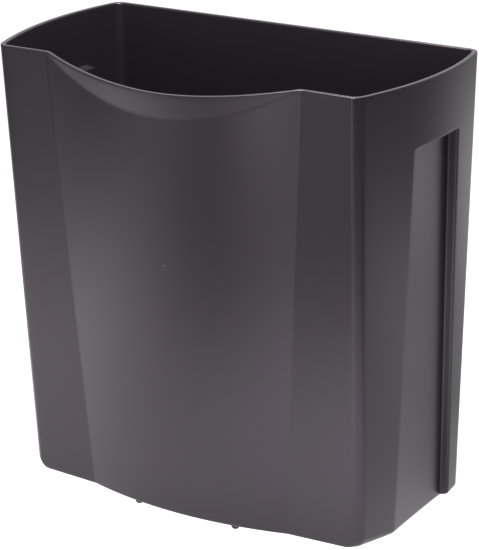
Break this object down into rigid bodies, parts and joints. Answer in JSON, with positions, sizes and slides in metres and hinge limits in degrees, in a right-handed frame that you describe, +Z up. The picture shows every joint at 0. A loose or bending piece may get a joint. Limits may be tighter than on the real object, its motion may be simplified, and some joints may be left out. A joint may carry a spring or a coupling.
{
  "type": "waste bin",
  "caption": "Tall open-topped moulded bin with a bowed front, scooped lip, side grip recesses and push-in feet.",
  "frame": {"origin": "on the ground, under the middle of the bin's bounding box", "axes": "+Z up, the bowed and scooped front faces -Y, and +X is on the right of someone who looks at the front"},
  "size_m": [0.3628, 0.191, 0.3657],
  "materials": {
    "tub": "satin moulded charcoal",
    "foot": "dark rubber"
  },
  "bodies": {
    "root": {"tub": "tub", "foot_front_left": "foot", "foot_front_right": "foot", "foot_rear_left": "foot", "foot_rear_right": "foot"}
  },
  "joints": []
}
